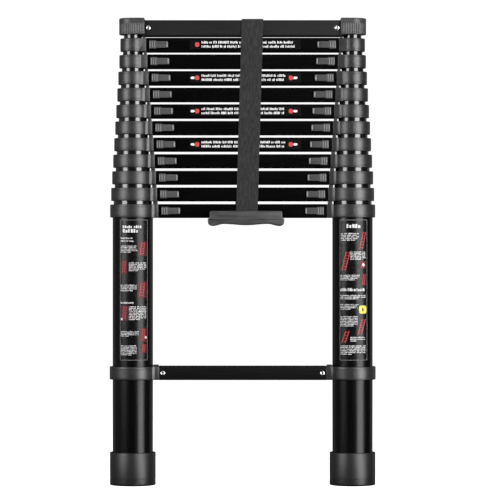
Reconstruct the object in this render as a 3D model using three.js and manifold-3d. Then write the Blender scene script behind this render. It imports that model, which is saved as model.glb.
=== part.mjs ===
// Thirteen-rung telescoping ladder, shown closed: twelve nested pairs of tubes, each pair carrying a rung.
// Units are millimetres. +Z is up, the rungs lie along X, and the front of the ladder faces -Y.
// The origin is on the floor, midway between the two feet.
// Sections are counted from the bottom. Section k carries rung k + 1 at its top.
// Section 1 carries rung 1 as well.

import * as THREE from "three";
import { mergeVertices } from "three/addons/utils/BufferGeometryUtils.js";
import Module from "manifold-3d";

const wasm = await Module();
wasm.setup();

// ---- driving dimensions ----
const SECTIONS = 12;
const STILE_SPACING = 407.5; // between the two tube axes
const OPEN_STEP = 300; // rung to rung, extended
const CLOSED_STEP = 30.75; // rung to rung, closed
const BOTTOM_RUNG_Z = 207.5;
const BASE_TUBE_RADIUS = 37.4;
const RADIUS_STEP = 1.9; // each tube is this much smaller in radius than the one around it
const TUBE_WALL = 1.3;
const TUBE_BELOW_RUNG = 355.7; // from a rung's centre to the lower end of its tubes
const ROUND_SIDES = 20; // facets of every tube, collar, cap and foot
const GAP = 0.3; // between pieces that touch
const OVERLAP = 1; // how far shapes that are joined, or cut away, reach into or past each other

const RUNG_HEIGHT = 25.5;
const RUNG_DEPTH = 38;
const RUNG_WALL = 1.6;
const RUNG_CHAMFER = 1.8;
const TOP_RUNG_HEIGHT = 29.2;
const DRAIN_HOLE_RADIUS = 3;
const DRAIN_HOLE_X = 60;

const COLLAR_WALL = 4.8;
const COLLAR_HEIGHT = 24;
const LOWER_COLLAR_RADIUS = 43;
const SOCKET_DEPTH = 40;
const SOCKET_HEIGHT = 25;
const FLARE = { width: 2.5, length: 6 }; // how the front and back of a socket widen to meet the collar
const PAD_INSET = 2; // of the pad on top of a socket, from the socket's edges
const LOWER_PAD_HEIGHT = 2.3;
const BASE_SOCKET_REACH = 47.8; // from a base tube's axis to the end of its socket
const SOCKET_REACH_STEP = 2.24; // how much less each higher section reaches
const LOWER_SOCKET_REACH = 49.6;
const SPIGOT_LENGTH = 6;
const SPIGOT_PLAY = 0.4; // between a spigot and the inside of its rung

const CAP_RADIUS = 25.3;
const CAP_REACH = 22.4; // from the tube's axis to the flat side that the top rung goes in through
const CAP_BELOW_RUNG = 11.7;
const CAP_ABOVE_RUNG = 18.7;
const CAP_ROOF = 4;
const TOP_RUNG_IN_CAP = 6.5;

const PIN_RADIUS = 4;
const PIN_PLAY = 0.4;
const PIN_SIDES = 10;
const LATCH_TRAVEL = 12;
const BUTTON = { start: 5.9, wide: 12, length: 34.7, thickness: 3.2, wideHeight: 15, narrowHeight: 12 };
const STEM = { start: 8.5, length: 14, height: 9 };
const SLIDER = { start: 7.5, length: 17, front: -13.5, back: 6, height: 14 };
const SLOT_HEIGHT = 11; // of the slot in a rung's front that a button's stem slides along
const SLOT_PLAY = 0.5; // between the stem and the slot's outer end

const FOOT_RADIUS = 42.5;
const FOOT_HEIGHT = 60.8;
const FOOT_SOLE = 8;
const FOOT_CHAMFER = 1.5;

const WEB_WIDTH = 40;
const WEB_THICKNESS = 2;
const WEB_GAP = 0.4; // between one layer of webbing and what it lies on
const WEB_CORNER = 3;
const STRAP_TOP_X = 17.8;
const STRAP_LEAN = 0.0295; // sideways drift of the strap per millimetre of height
const STRAP_FRONT_END_Z = 496;
const STRAP_BACK_END_Z = 500;
const KEEPER_BACK_TOP_Z = 545;

const HANDLE = { x: 6.3, halfTop: 67, halfBottom: 70.5, back: -24.6, front: -41.5 };
const HANDLE_Z = { top: 507.3, shoulder: 493.6, side: 486.6, lobe: 479, valley: 483, middle: 480.5 };
const HANDLE_WAVE = { lobe: 63.5, valley: 46.5 }; // distances from the handle's middle
const HANDLE_ROD = { y: -27.6, z: 502.3, radius: 2.2, recess: 6.2, sides: 10, beyondRecess: 2 };
const EYE_INNER_RADIUS = 2.7;
const EYE_OUTER_RADIUS = 4.4;

// ---- sizes worked out from them ----
const STILE_X = STILE_SPACING / 2;
const SECOND_RUNG_Z = BOTTOM_RUNG_Z + OPEN_STEP;
const TOP_RUNG_Z = SECOND_RUNG_Z + (SECTIONS - 1) * CLOSED_STEP;
const rungHeight = (rung) => (rung > SECTIONS ? TOP_RUNG_HEIGHT : RUNG_HEIGHT);
const padHeight = (section) => CLOSED_STEP - rungHeight(section + 2) / 2 - SOCKET_HEIGHT / 2 - GAP;
const tubeRadius = (section) => BASE_TUBE_RADIUS - RADIUS_STEP * (section - 1);
const socketReach = (section) => BASE_SOCKET_REACH - SOCKET_REACH_STEP * (section - 1);
const twoDigits = (number) => String(number).padStart(2, "0");

// ---- materials ----
function material(color, roughness, metalness) {
  return new THREE.MeshStandardMaterial({ color, roughness, metalness });
}
const blackTube = material(0x101010, 0.28, 0.6);
const blackRung = material(0x141414, 0.42, 0.5);
const greyNylon = material(0x4a4a4a, 0.55, 0);
const blackRubber = material(0x2e2e2e, 0.7, 0);
const blackWebbing = material(0x2b2b2b, 0.9, 0);

// ---- three.js geometry to solid and back ----
function solid(geometry) {
  const bare = geometry.clone();
  bare.deleteAttribute("normal");
  bare.deleteAttribute("uv");
  const merged = mergeVertices(bare, 1e-3);
  return new wasm.Manifold(
    new wasm.Mesh({
      numProp: 3,
      vertProperties: merged.attributes.position.array,
      triVerts: new Uint32Array(merged.index.array),
    }),
  );
}

function mesh(name, made, look, x = 0, z = 0, mirrored = false) {
  const { vertProperties, triVerts } = made.getMesh();
  const geometry = new THREE.BufferGeometry()
    .setAttribute("position", new THREE.BufferAttribute(vertProperties, 3))
    .setIndex(new THREE.BufferAttribute(triVerts, 1));
  geometry.computeVertexNormals();
  const piece = new THREE.Mesh(geometry, look);
  piece.name = name;
  piece.position.set(x, 0, z);
  if (mirrored) piece.scale.x = -1;
  return piece;
}

// ---- plain shapes ----
function box(lowX, highX, lowY, highY, lowZ, highZ) {
  return solid(
    new THREE.BoxGeometry(highX - lowX, highY - lowY, highZ - lowZ).translate(
      (lowX + highX) / 2,
      (lowY + highY) / 2,
      (lowZ + highZ) / 2,
    ),
  );
}

function post(radius, lowZ, highZ, sides = ROUND_SIDES) {
  return solid(
    new THREE.CylinderGeometry(radius, radius, highZ - lowZ, sides)
      .rotateX(Math.PI / 2)
      .translate(0, 0, (lowZ + highZ) / 2),
  );
}

function rod(radius, lowX, highX, y = 0, z = 0, sides = PIN_SIDES) {
  return solid(
    new THREE.CylinderGeometry(radius, radius, highX - lowX, sides)
      .rotateZ(Math.PI / 2)
      .translate((lowX + highX) / 2, y, z),
  );
}

// A shape drawn in (Y, Z), drawn out along X.
function alongX(shape, lowX, highX, curveSegments = 4) {
  const turned = new THREE.Matrix4().makeBasis(
    new THREE.Vector3(0, 1, 0),
    new THREE.Vector3(0, 0, 1),
    new THREE.Vector3(1, 0, 0),
  );
  return new THREE.ExtrudeGeometry(shape, { depth: highX - lowX, bevelEnabled: false, curveSegments })
    .applyMatrix4(turned)
    .translate(lowX, 0, 0);
}

// A shape drawn in (X, Y), drawn out along Z.
function alongZ(shape, lowZ, highZ) {
  return new THREE.ExtrudeGeometry(shape, { depth: highZ - lowZ, bevelEnabled: false }).translate(0, 0, lowZ);
}

// A shape drawn in (X, Z), drawn out along Y from front to back.
function alongY(shape, front, back, curveSegments = 6) {
  return new THREE.ExtrudeGeometry(shape, { depth: back - front, bevelEnabled: false, curveSegments })
    .rotateX(Math.PI / 2)
    .translate(0, back, 0);
}

function chamferedRectangle(width, height, chamfer) {
  const w = width / 2;
  const h = height / 2;
  return [
    [w - chamfer, -h],
    [w, chamfer - h],
    [w, h - chamfer],
    [w - chamfer, h],
    [chamfer - w, h],
    [-w, h - chamfer],
    [-w, chamfer - h],
    [chamfer - w, -h],
  ].map(([x, y]) => new THREE.Vector2(x, y));
}

// ---- rungs ----
function hollowRung(lowX, highX, height = RUNG_HEIGHT) {
  const outline = new THREE.Shape(chamferedRectangle(RUNG_DEPTH, height, RUNG_CHAMFER));
  const bore = chamferedRectangle(RUNG_DEPTH - 2 * RUNG_WALL, height - 2 * RUNG_WALL, RUNG_CHAMFER / 2);
  outline.holes.push(new THREE.Path(bore));
  return solid(alongX(outline, lowX, highX));
}

// A rung that is closed at both ends drains through two holes in its underside.
function drained(rung) {
  const hole = post(DRAIN_HOLE_RADIUS, -RUNG_HEIGHT, 0, PIN_SIDES);
  return rung.subtract(hole.translate(DRAIN_HOLE_X, 0, 0)).subtract(hole.translate(-DRAIN_HOLE_X, 0, 0));
}

// The rung of a section, with a slot at each end of its front for the latch button's stem.
function latchedRung(section) {
  const end = STILE_X - socketReach(section) - GAP;
  const slotStart = STILE_X - socketReach(section) - STEM.start + SLOT_PLAY;
  const slotEnd = slotStart - STEM.length - LATCH_TRAVEL - 2 * SLOT_PLAY;
  const face = -RUNG_DEPTH / 2;
  const half = SLOT_HEIGHT / 2;
  const slot = box(slotEnd, slotStart, face - OVERLAP, face + 2 * RUNG_WALL, -half, half);
  return hollowRung(-end, end)
    .subtract(slot)
    .subtract(slot.mirror([1, 0, 0]));
}

// ---- stiles: the local origin is on the tube axis at rung height, and +X is towards the other stile ----
// A socket is a block on the collar's inner side. The next rung's sockets rest on the pad on its top.
function socket(reach, collarRadius, padRise) {
  const narrow = SOCKET_DEPTH / 2;
  const wide = narrow + FLARE.width;
  const flareStart = Math.sqrt(collarRadius ** 2 - wide ** 2);
  const flareEnd = flareStart + FLARE.length;
  const front = [[0, wide], [flareStart, wide], [flareEnd, narrow], [reach, narrow]];
  const back = front.map(([x, y]) => [x, -y]).reverse();
  const plan = new THREE.Shape([...front, ...back].map(([x, y]) => new THREE.Vector2(x, y)));
  const block = solid(alongZ(plan, -SOCKET_HEIGHT / 2, SOCKET_HEIGHT / 2));
  const padStart = collarRadius - COLLAR_WALL - OVERLAP;
  const padDepth = narrow - PAD_INSET;
  const pad = box(padStart, reach - PAD_INSET, -padDepth, padDepth, 0, SOCKET_HEIGHT / 2 + padRise);
  const slimming = 2 * (RUNG_WALL + SPIGOT_PLAY);
  const spigot = chamferedRectangle(RUNG_DEPTH - slimming, RUNG_HEIGHT - slimming, RUNG_CHAMFER / 2);
  const plug = solid(alongX(new THREE.Shape(spigot), reach - OVERLAP, reach + SPIGOT_LENGTH));
  return block.add(pad).add(plug);
}

const collar = (radius) => post(radius, -COLLAR_HEIGHT / 2, COLLAR_HEIGHT / 2);

// One tube with the moulded collar and socket at its top, bored for the latch pin and for the next tube.
function stile(section, lowerEnd = -TUBE_BELOW_RUNG) {
  const radius = tubeRadius(section);
  const reach = socketReach(section);
  return post(radius, lowerEnd, COLLAR_HEIGHT / 2)
    .add(collar(radius + COLLAR_WALL))
    .add(socket(reach, radius + COLLAR_WALL, padHeight(section)))
    .subtract(rod(PIN_RADIUS + PIN_PLAY, 0, reach + SPIGOT_LENGTH + OVERLAP));
}

function tubeBore(section, lowerEnd) {
  return post(tubeRadius(section) - TUBE_WALL, lowerEnd - OVERLAP, RUNG_HEIGHT);
}

function lockHole(section) {
  return rod(PIN_RADIUS + PIN_PLAY, 0, tubeRadius(section) + OVERLAP, 0, -OPEN_STEP);
}

function movingStile(section) {
  return stile(section).subtract(tubeBore(section, -TUBE_BELOW_RUNG)).subtract(lockHole(section));
}

function bothSides(atAxis) {
  const left = atAxis.translate(-STILE_X, 0, 0);
  return left.add(left.mirror([1, 0, 0]));
}

// The two base tubes, riveted to the bottom rung through a second pair of collars.
function baseSection() {
  const lowerEnd = FOOT_SOLE + GAP - SECOND_RUNG_Z;
  const lowerSocket = socket(LOWER_SOCKET_REACH, LOWER_COLLAR_RADIUS, LOWER_PAD_HEIGHT);
  const lowerCollar = collar(LOWER_COLLAR_RADIUS).add(lowerSocket);
  const left = stile(1, lowerEnd)
    .add(lowerCollar.translate(0, 0, -OPEN_STEP))
    .subtract(tubeBore(1, lowerEnd));
  const rungEnd = STILE_X - LOWER_SOCKET_REACH + OVERLAP;
  return bothSides(left).add(drained(hollowRung(-rungEnd, rungEnd)).translate(0, 0, -OPEN_STEP));
}

// The two innermost tubes, capped and joined by the top rung.
function topSection() {
  const radius = tubeRadius(SECTIONS);
  const left = post(radius, -TUBE_BELOW_RUNG, 0)
    .add(post(CAP_RADIUS, -CAP_BELOW_RUNG, CAP_ABOVE_RUNG))
    .add(box(0, CAP_REACH, -CAP_RADIUS, CAP_RADIUS, -CAP_BELOW_RUNG, CAP_ABOVE_RUNG))
    .subtract(post(radius - TUBE_WALL, -TUBE_BELOW_RUNG - OVERLAP, CAP_ABOVE_RUNG - CAP_ROOF))
    .subtract(lockHole(SECTIONS));
  const rungEnd = STILE_X - CAP_REACH + TOP_RUNG_IN_CAP;
  return bothSides(left).add(drained(hollowRung(-rungEnd, rungEnd, TOP_RUNG_HEIGHT)));
}

// ---- latches: in the frame of the stile that they belong to ----
function latch(section) {
  const reach = socketReach(section);
  const front = -RUNG_DEPTH / 2 - GAP;
  const tip = tubeRadius(section + 1) + PIN_PLAY;
  const start = reach + BUTTON.start;
  const step = start + BUTTON.wide;
  const end = start + BUTTON.length;
  const wide = BUTTON.wideHeight / 2;
  const narrow = BUTTON.narrowHeight / 2;
  const lower = [[start, -wide], [step, -wide], [step, -narrow], [end, -narrow]];
  const upper = lower.map(([x, z]) => [x, -z]).reverse();
  const thumb = new THREE.Shape([...lower, ...upper].map(([x, z]) => new THREE.Vector2(x, z)));
  const stemStart = reach + STEM.start;
  const stemEnd = stemStart + STEM.length;
  const sliderStart = reach + SLIDER.start;
  const sliderEnd = sliderStart + SLIDER.length;
  const stemHalf = STEM.height / 2;
  const sliderHalf = SLIDER.height / 2;
  return rod(PIN_RADIUS, tip, sliderStart + OVERLAP)
    .add(box(sliderStart, sliderEnd, SLIDER.front, SLIDER.back, -sliderHalf, sliderHalf))
    .add(box(stemStart, stemEnd, front - OVERLAP, SLIDER.front + OVERLAP, -stemHalf, stemHalf))
    .add(solid(alongY(thumb, front - BUTTON.thickness, front)));
}

// ---- feet ----
function foot() {
  const bore = BASE_TUBE_RADIUS + GAP;
  const profile = [
    [0, 0],
    [FOOT_RADIUS - FOOT_CHAMFER, 0],
    [FOOT_RADIUS, FOOT_CHAMFER],
    [FOOT_RADIUS, FOOT_HEIGHT],
    [bore, FOOT_HEIGHT],
    [bore, FOOT_SOLE],
    [0, FOOT_SOLE],
  ].map(([radius, z]) => new THREE.Vector2(radius, z));
  return solid(new THREE.LatheGeometry(profile, ROUND_SIDES).rotateX(Math.PI / 2));
}

// ---- carrying strap ----
// A band of webbing drawn as its inner outline in (Y, Z), open at one side, with rounded corners.
function band(inner, outer) {
  const shape = new THREE.Shape();
  const path = (corners, radius, first) => {
    const [a, b, c, d] = corners;
    if (first) shape.moveTo(...a);
    else shape.lineTo(...a);
    const shifted = (from, to) => from + Math.sign(to - from) * radius;
    const towards = (p, q) => [shifted(p[0], q[0]), shifted(p[1], q[1])];
    shape.lineTo(...towards(b, a));
    shape.quadraticCurveTo(...b, ...towards(b, c));
    shape.lineTo(...towards(c, b));
    shape.quadraticCurveTo(...c, ...towards(c, d));
    shape.lineTo(...d);
  };
  path(outer, WEB_CORNER + WEB_THICKNESS, true);
  path([...inner].reverse(), WEB_CORNER, false);
  shape.closePath();
  return shape;
}

// The strap hangs over the top rung and runs down the front and the back of the closed stack.
function carryStrap() {
  const inner = RUNG_DEPTH / 2 + WEB_GAP;
  const outer = inner + WEB_THICKNESS;
  const roof = TOP_RUNG_Z + TOP_RUNG_HEIGHT / 2 + WEB_GAP;
  const shape = band(
    [
      [-inner, STRAP_FRONT_END_Z],
      [-inner, roof],
      [inner, roof],
      [inner, STRAP_BACK_END_Z],
    ],
    [
      [-outer, STRAP_FRONT_END_Z],
      [-outer, roof + WEB_THICKNESS],
      [outer, roof + WEB_THICKNESS],
      [outer, STRAP_BACK_END_Z],
    ],
  );
  const lean = new THREE.Matrix4().makeShear(0, 0, 0, 0, STRAP_LEAN, 0);
  return solid(
    alongX(shape, STRAP_TOP_X - WEB_WIDTH / 2, STRAP_TOP_X + WEB_WIDTH / 2)
      .translate(0, 0, -TOP_RUNG_Z)
      .applyMatrix4(lean),
  );
}

// The keeper passes under rung 2. Its back end takes the strap's back run.
// Its front end is an eye that holds the handle's rod.
function strapKeeper() {
  const inner = RUNG_DEPTH / 2 + 2 * WEB_GAP + WEB_THICKNESS;
  const outer = inner + WEB_THICKNESS;
  const floor = SECOND_RUNG_Z - RUNG_HEIGHT / 2 - WEB_GAP;
  const low = HANDLE.x - WEB_WIDTH / 2;
  const high = HANDLE.x + WEB_WIDTH / 2;
  const shape = band(
    [
      [inner, KEEPER_BACK_TOP_Z],
      [inner, floor],
      [-inner, floor],
      [-inner, HANDLE_ROD.z],
    ],
    [
      [outer, KEEPER_BACK_TOP_Z],
      [outer, floor - WEB_THICKNESS],
      [-outer, floor - WEB_THICKNESS],
      [-outer, HANDLE_ROD.z],
    ],
  );
  const { y, z, sides } = HANDLE_ROD;
  return solid(alongX(shape, low, high))
    .add(rod(EYE_OUTER_RADIUS, low, high, y, z, sides))
    .subtract(rod(EYE_INNER_RADIUS, low - OVERLAP, high + OVERLAP, y, z, sides));
}

// A finger-grip handle that swings on a rod held in the keeper's eye.
function carryHandle() {
  const { halfTop, halfBottom } = HANDLE;
  const { top, shoulder, side, lobe, valley, middle } = HANDLE_Z;
  const underside = [
    [HANDLE_WAVE.lobe, lobe],
    [HANDLE_WAVE.valley, valley],
    [0, middle],
    [-HANDLE_WAVE.valley, valley],
    [-HANDLE_WAVE.lobe, lobe],
    [-halfBottom, side],
  ].map(([x, z]) => new THREE.Vector2(x, z));
  const shape = new THREE.Shape()
    .moveTo(-halfTop, top)
    .lineTo(halfTop, top)
    .lineTo(halfTop, shoulder)
    .lineTo(halfBottom, shoulder)
    .lineTo(halfBottom, side)
    .splineThru(underside)
    .lineTo(-halfBottom, shoulder)
    .lineTo(-halfTop, shoulder);
  const { y, z, radius, recess, sides, beyondRecess } = HANDLE_ROD;
  const half = WEB_WIDTH / 2 + OVERLAP;
  const rodHalf = half + beyondRecess;
  return solid(alongY(shape, HANDLE.front, HANDLE.back, 3))
    .subtract(rod(recess, -half, half, y, z, sides))
    .add(rod(radius, -rodHalf, rodHalf, y, z, sides));
}

// ---- the ladder ----
function assemble() {
  const ladder = new THREE.Group();
  const base = new THREE.Group();
  base.position.z = SECOND_RUNG_Z;
  ladder.add(base);
  base.add(mesh("base_section", baseSection(), blackTube));
  for (const [side, x] of [["left", -STILE_X], ["right", STILE_X]]) {
    ladder.add(mesh(`foot_${side}`, foot(), blackRubber, x));
  }
  ladder.add(mesh("strap_keeper", strapKeeper(), blackWebbing));
  ladder.add(mesh("carry_handle", carryHandle(), greyNylon, HANDLE.x));

  let parent = base;
  for (let section = 1; section < SECTIONS; section++) {
    const rung = twoDigits(section + 1);
    parent.add(mesh(`rung_${rung}`, latchedRung(section), blackRung));
    parent.add(mesh(`latch_left_${rung}`, latch(section), greyNylon, -STILE_X));
    parent.add(mesh(`latch_right_${rung}`, latch(section), greyNylon, STILE_X, 0, true));
    const next = new THREE.Group();
    next.position.z = CLOSED_STEP;
    parent.add(next);
    parent = next;
    if (section + 1 === SECTIONS) continue;
    const number = twoDigits(section + 1);
    next.add(mesh(`stile_left_${number}`, movingStile(section + 1), blackTube, -STILE_X));
    next.add(mesh(`stile_right_${number}`, movingStile(section + 1), blackTube, STILE_X, 0, true));
  }
  parent.add(mesh("top_section", topSection(), blackTube));
  parent.add(mesh("carry_strap", carryStrap(), blackWebbing));
  return ladder;
}

export default assemble();
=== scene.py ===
# Looks of a thirteen-rung telescoping ladder, closed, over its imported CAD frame.
# Units are metres. +Z is up, the rungs lie along X, and the front of the ladder faces -Y.
# Section k is the k-th pair of tubes from the outside, and rung k + 1 is at its top.
# Section 1 has rung 1 too.

import math
import random

import bmesh
import bpy
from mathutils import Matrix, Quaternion, Vector


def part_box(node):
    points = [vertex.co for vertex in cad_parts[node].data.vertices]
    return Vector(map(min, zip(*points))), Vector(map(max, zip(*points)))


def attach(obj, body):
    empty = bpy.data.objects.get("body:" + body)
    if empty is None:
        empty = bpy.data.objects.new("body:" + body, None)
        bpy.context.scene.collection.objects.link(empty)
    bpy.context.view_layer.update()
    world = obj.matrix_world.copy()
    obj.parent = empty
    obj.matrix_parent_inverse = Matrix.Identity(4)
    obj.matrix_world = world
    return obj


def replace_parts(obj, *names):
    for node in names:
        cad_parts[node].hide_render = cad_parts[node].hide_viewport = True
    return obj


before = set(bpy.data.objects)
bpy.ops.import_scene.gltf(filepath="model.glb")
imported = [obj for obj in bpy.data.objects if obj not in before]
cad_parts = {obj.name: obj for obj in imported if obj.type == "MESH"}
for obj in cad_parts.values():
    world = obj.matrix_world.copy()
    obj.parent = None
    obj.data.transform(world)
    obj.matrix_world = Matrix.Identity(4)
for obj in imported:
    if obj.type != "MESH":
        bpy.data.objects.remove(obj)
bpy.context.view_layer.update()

MM = 0.001

# ---- sizes that the frame doesn't state, as in the CAD ----
SECTIONS = 12
TOP_RUNG = SECTIONS + 1
OPEN_STEP = 300 * MM
GAP = 0.3 * MM  # between pieces that touch
HAIR = 0.03 * MM  # keeps the edges of a cutter off the edges of what it cuts
CREASE = 35  # degrees; an edge that turns more than this is sharp
COLLAR_WALL = 4.8 * MM
TUBE_WALL = 1.3 * MM
COLLAR_HEIGHT = 24 * MM
SOCKET_DEPTH = 40 * MM
SOCKET_HEIGHT = 25 * MM
FLARE_WIDTH = 2.5 * MM
FLARE_LENGTH = 6 * MM
PAD_INSET = 2 * MM
LOWER_SOCKET_REACH = 49.6 * MM
LOWER_PAD_HEIGHT = 2.3 * MM
RUNG_WALL = 1.6 * MM
LATCH_TRAVEL = 12 * MM
PIN_RADIUS = 4 * MM
PIN_HOLE_RADIUS = PIN_RADIUS + 0.4 * MM
SPIGOT_LENGTH = 6 * MM
TOP_RUNG_HEIGHT = 29.2 * MM
CAP_REACH = 22.4 * MM
CAP_BELOW_RUNG = 11.7 * MM
CAP_POCKET = 6.5 * MM  # how far the top rung reaches into a cap
TUBE_BELOW_CAP_TOP = 4.2 * MM
TOP_RIVET_X, BOTTOM_RIVET_X = 174.45 * MM, 147.55 * MM


# ---- sizes and places read from the frame ----
def centre(node):
    low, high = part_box(node)
    return (low + high) / 2


STILE_X = centre("foot_right").x
SECOND_RUNG_Z = centre("rung_02").z
CLOSED_STEP = centre("rung_03").z - SECOND_RUNG_Z
BOTTOM_RUNG_Z = SECOND_RUNG_Z - OPEN_STEP
TOP_RUNG_Z = SECOND_RUNG_Z + (SECTIONS - 1) * CLOSED_STEP
RUNG_LOW, RUNG_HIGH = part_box("rung_02")
RUNG_DEPTH = RUNG_HIGH.y - RUNG_LOW.y
RUNG_HEIGHT = RUNG_HIGH.z - RUNG_LOW.z
RUNG_FACE = -RUNG_DEPTH / 2
RADIUS_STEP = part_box("stile_left_03")[0].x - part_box("stile_left_02")[0].x
BASE_TUBE_RADIUS = -STILE_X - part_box("stile_left_02")[0].x - COLLAR_WALL + RADIUS_STEP
LOWER_COLLAR_RADIUS = -STILE_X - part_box("base_section")[0].x
BASE_TUBE_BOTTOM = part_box("base_section")[0].z
TUBE_BELOW_RUNG = centre("rung_03").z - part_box("stile_left_02")[0].z
CAP_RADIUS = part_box("top_section")[1].y
CAP_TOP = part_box("top_section")[1].z
CAP_BOTTOM = TOP_RUNG_Z - CAP_BELOW_RUNG
FOOT_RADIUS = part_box("foot_left")[1].y
FOOT_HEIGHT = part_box("foot_left")[1].z


def tube_radius(section):
    return BASE_TUBE_RADIUS - RADIUS_STEP * (section - 1)


def socket_reach(section):
    return STILE_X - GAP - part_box(f"rung_{section + 1:02d}")[1].x


def pad_height(section):
    above = TOP_RUNG_HEIGHT if section + 1 == SECTIONS else RUNG_HEIGHT
    return CLOSED_STEP - above / 2 - SOCKET_HEIGHT / 2 - GAP


def section_body(section):
    return "base" if section == 1 else f"section_{section:02d}"


def rung_z(rung):
    return BOTTOM_RUNG_Z if rung == 1 else SECOND_RUNG_Z + (rung - 2) * CLOSED_STEP


def stile_node(side_name, section):
    """The CAD node that holds a section's tube on one side."""
    ends = {1: "base_section", SECTIONS: "top_section"}
    return ends.get(section, f"stile_{side_name}_{section:02d}")


SIDES = (("left", -1), ("right", 1))


# ---- mesh helpers ----
def in_scene(name, data):
    made = bpy.data.objects.new(name, data)
    bpy.context.scene.collection.objects.link(made)
    return made


class Shells:
    """Several closed shells gathered into one mesh."""

    def __init__(self, *shells):
        self.vertices, self.faces, self.slots = [], [], []
        for shell in shells:
            self.add(*shell)

    def add(self, vertices, faces, slot=0):
        start = len(self.vertices)
        self.vertices += [Vector(v) for v in vertices]
        self.faces += [[start + i for i in face] for face in faces]
        self.slots += [slot] * len(faces)
        return self

    def moved(self, x=0, z=0, mirrored=False):
        side = -1 if mirrored else 1
        self.vertices = [Vector((side * v.x + x, v.y, v.z + z)) for v in self.vertices]
        return self

    def beside(self, side, z=0):
        """Takes shells drawn about the left stile's axis to their own stile."""
        return self.moved(x=side * STILE_X, z=z, mirrored=side > 0)

    def piece(self, name, materials, body, slot, crease=CREASE):
        mesh = bpy.data.meshes.new(name)
        mesh.from_pydata(self.vertices, [], self.faces)
        for material in materials:
            mesh.materials.append(material)
        mesh.polygons.foreach_set("material_index", self.slots)
        turned_outward(mesh)
        mesh.shade_smooth()
        mesh.set_sharp_from_angle(angle=math.radians(crease))
        made = in_scene(name, mesh)
        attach(made, body)
        return made


def lathe(profile, sides=64):
    """A profile of (radius, z) turned about Z, closed on itself or by the axis at both ends."""
    vertices, rings, faces = [], [], []
    for radius, z in profile:
        if radius == 0:
            rings.append([len(vertices)] * sides)
            vertices.append((0, 0, z))
            continue
        rings.append(list(range(len(vertices), len(vertices) + sides)))
        for i in range(sides):
            angle = 2 * math.pi * i / sides
            vertices.append((radius * math.sin(angle), -radius * math.cos(angle), z))
    closed = profile[0][0] != 0
    for a, b in zip(rings, rings[1:] + ([rings[0]] if closed else [])):
        for i in range(sides):
            j = (i + 1) % sides
            corners = [a[i], a[j], b[j], b[i]]
            faces.append(list(dict.fromkeys(corners)))
    return vertices, faces


def prism(outline, low, high, place):
    """An outline of (u, v) drawn out from low to high. place turns (u, v, height) into a point."""
    n = len(outline)
    vertices = [place(u, v, low) for u, v in outline] + [place(u, v, high) for u, v in outline]
    faces = [list(range(n)), list(range(n, 2 * n))]
    faces += [[i, (i + 1) % n, n + (i + 1) % n, n + i] for i in range(n)]
    return vertices, faces


def along_x(u, v, height):
    return (height, u, v)


def along_z(u, v, height):
    return (u, v, height)


def block(low_x, high_x, low_y, high_y, low_z, high_z):
    outline = [(low_x, low_y), (high_x, low_y), (high_x, high_y), (low_x, high_y)]
    return prism(outline, low_z, high_z, along_z)


def rounded_rectangle(width, height, radius, steps=5):
    points = []
    for corner in range(4):
        turn = corner * math.pi / 2
        x = (width / 2 - radius) * (1 if corner in (0, 3) else -1)
        y = (height / 2 - radius) * (1 if corner in (0, 1) else -1)
        for i in range(steps + 1):
            angle = turn + math.pi / 2 * i / steps
            points.append((x + radius * math.cos(angle), y + radius * math.sin(angle)))
    return points


def loft(rings):
    """Rings of equally many points joined in order, with a face on each end."""
    n = len(rings[0])
    vertices = [point for ring in rings for point in ring]
    faces = []
    for r in range(len(rings) - 1):
        for i in range(n):
            j = (i + 1) % n
            faces.append([r * n + i, r * n + j, (r + 1) * n + j, (r + 1) * n + i])
    faces += [list(range(n)), list(range((len(rings) - 1) * n, len(rings) * n))]
    return vertices, faces


# ---- materials ----
class Nodes:
    """A material with a Principled shader and short ways to add the nodes that drive it."""

    def __init__(self, name, **settings):
        self.material = bpy.data.materials.new(name)
        self.material.use_nodes = True
        self.tree = self.material.node_tree
        self.shader = self.tree.nodes["Principled BSDF"]
        for socket, value in settings.items():
            self.shader.inputs[socket.replace("_", " ")].default_value = value

    def node(self, kind, inputs=None, **settings):
        made = self.tree.nodes.new(kind)
        for key, value in settings.items():
            setattr(made, key, value)
        for key, value in (inputs or {}).items():
            if isinstance(value, bpy.types.NodeSocket):
                self.tree.links.new(value, made.inputs[key])
            else:
                made.inputs[key].default_value = value
        return made

    def coordinates(self, scale=(1, 1, 1)):
        source = self.node("ShaderNodeTexCoord").outputs["Object"]
        return self.node("ShaderNodeMapping", {"Vector": source, "Scale": scale}).outputs[0]

    def noise(self, vector, scale, detail, roughness=0.5):
        inputs = {"Vector": vector, "Scale": scale, "Detail": detail, "Roughness": roughness}
        return self.node("ShaderNodeTexNoise", inputs).outputs["Fac"]

    def ramp(self, value, low, high, to_low, to_high):
        inputs = {"Value": value, "From Min": low, "From Max": high}
        inputs |= {"To Min": to_low, "To Max": to_high}
        return self.node("ShaderNodeMapRange", inputs).outputs[0]

    def math(self, operation, first, second=0.0):
        return self.node("ShaderNodeMath", {0: first, 1: second}, operation=operation).outputs[0]

    def mix(self, factor, first, second):
        """A blend of two colours. The node's sockets share names, so they go by number."""
        inputs = {0: factor, 6: first, 7: second}
        return self.node("ShaderNodeMix", inputs, data_type="RGBA").outputs[2]

    def bump(self, height, distance, strength, normal=None):
        inputs = {"Height": height, "Distance": distance, "Strength": strength}
        if normal:
            inputs["Normal"] = normal
        return self.node("ShaderNodeBump", inputs).outputs[0]

    def drive(self, socket, value):
        self.tree.links.new(value, self.shader.inputs[socket])
        return self


def grey(level, warmth=0.0):
    return (level * (1 + warmth), level, level * (1 - warmth), 1)


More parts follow.
